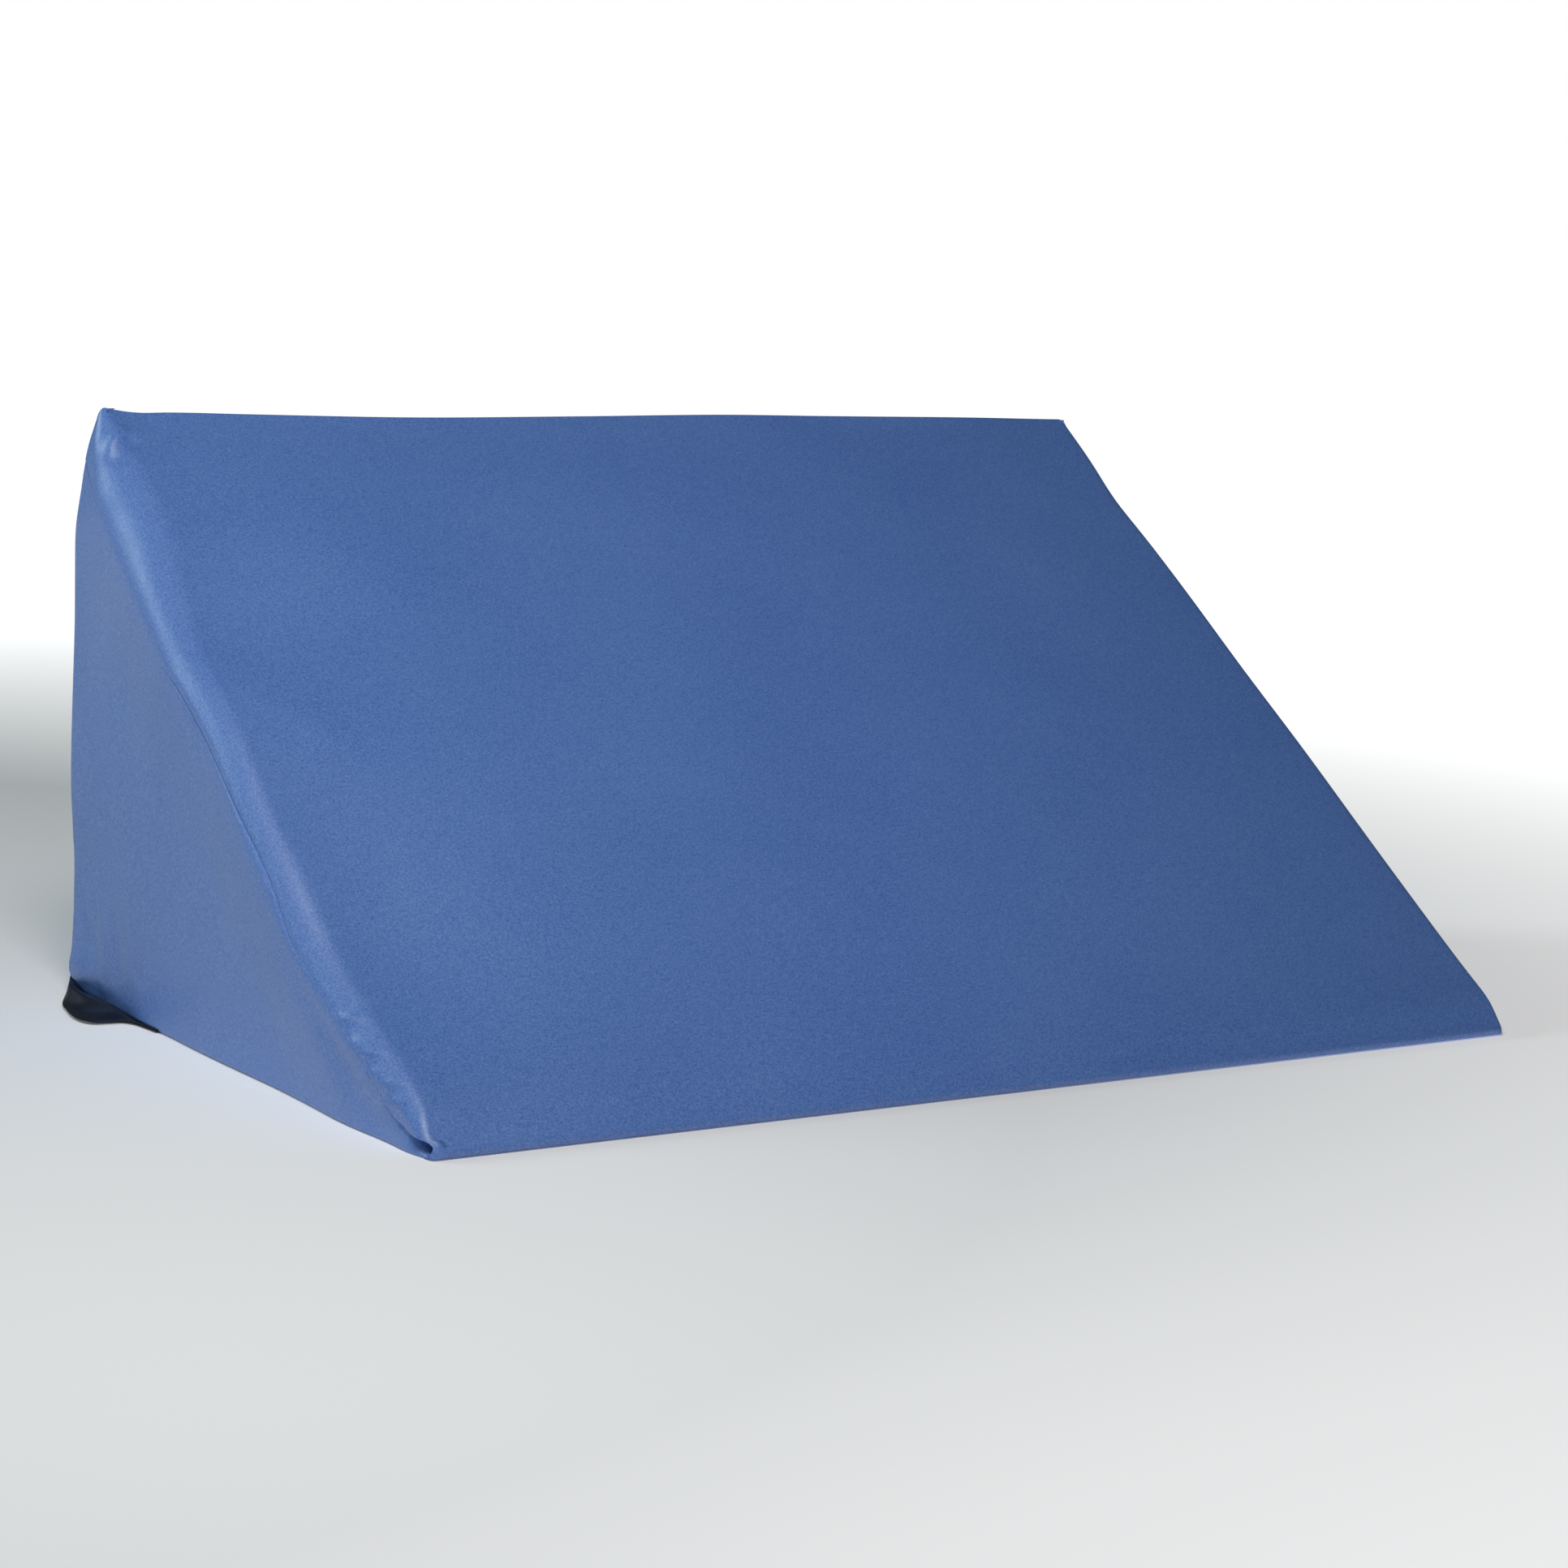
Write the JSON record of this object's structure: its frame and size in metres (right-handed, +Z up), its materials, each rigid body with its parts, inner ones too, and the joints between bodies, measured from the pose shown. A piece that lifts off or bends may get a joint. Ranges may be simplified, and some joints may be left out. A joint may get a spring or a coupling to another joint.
{
  "type": "incline wedge mat",
  "caption": "Foam wedge mat with a sloped top that falls to a thin toe, in a removable sewn cover closed by a zip across its tall back.",
  "frame": {"origin": "middle of the base, on the surface that the mat lies on", "axes": "+X across the mat, to the right as seen from the toe; -Y towards the low toe and +Y towards the tall back; +Z up"},
  "size_m": [0.614, 0.392, 0.294],
  "materials": {
    "cover_cloth": "matte",
    "base_cloth": "matte",
    "foam": "matte",
    "zip_tape": "matte",
    "zip_teeth": "satin",
    "zip_metal": "satin"
  },
  "bodies": {
    "mat": {"foam_core": "foam", "cover_slope_panel": "cover_cloth", "cover_side_left": "cover_cloth", "cover_side_right": "cover_cloth", "cover_base_panel": "base_cloth", "cover_back_upper": "cover_cloth", "cover_back_lower": "cover_cloth", "zip_tape_upper": "zip_tape", "zip_tape_lower": "zip_tape", "zip_coil_upper": "zip_teeth", "zip_coil_lower": "zip_teeth", "zip_top_stop_upper": "zip_metal", "zip_top_stop_lower": "zip_metal", "zip_bottom_stop": "zip_metal"},
    "slider": {"zip_slider": "zip_metal"},
    "pull": {"zip_pull": "zip_metal"}
  },
  "joints": [
    {"name": "zip_slide", "type": "slide", "parent": "mat", "child": "slider", "axis": [-1, 0, 0], "range_m": [0, 0.534]},
    {"name": "pull_swing", "type": "hinge", "parent": "slider", "child": "pull", "pos_m": [0.267, 0.1939, 0.075], "axis": [0, 0, -1], "range_deg": [0, 165]}
  ]
}
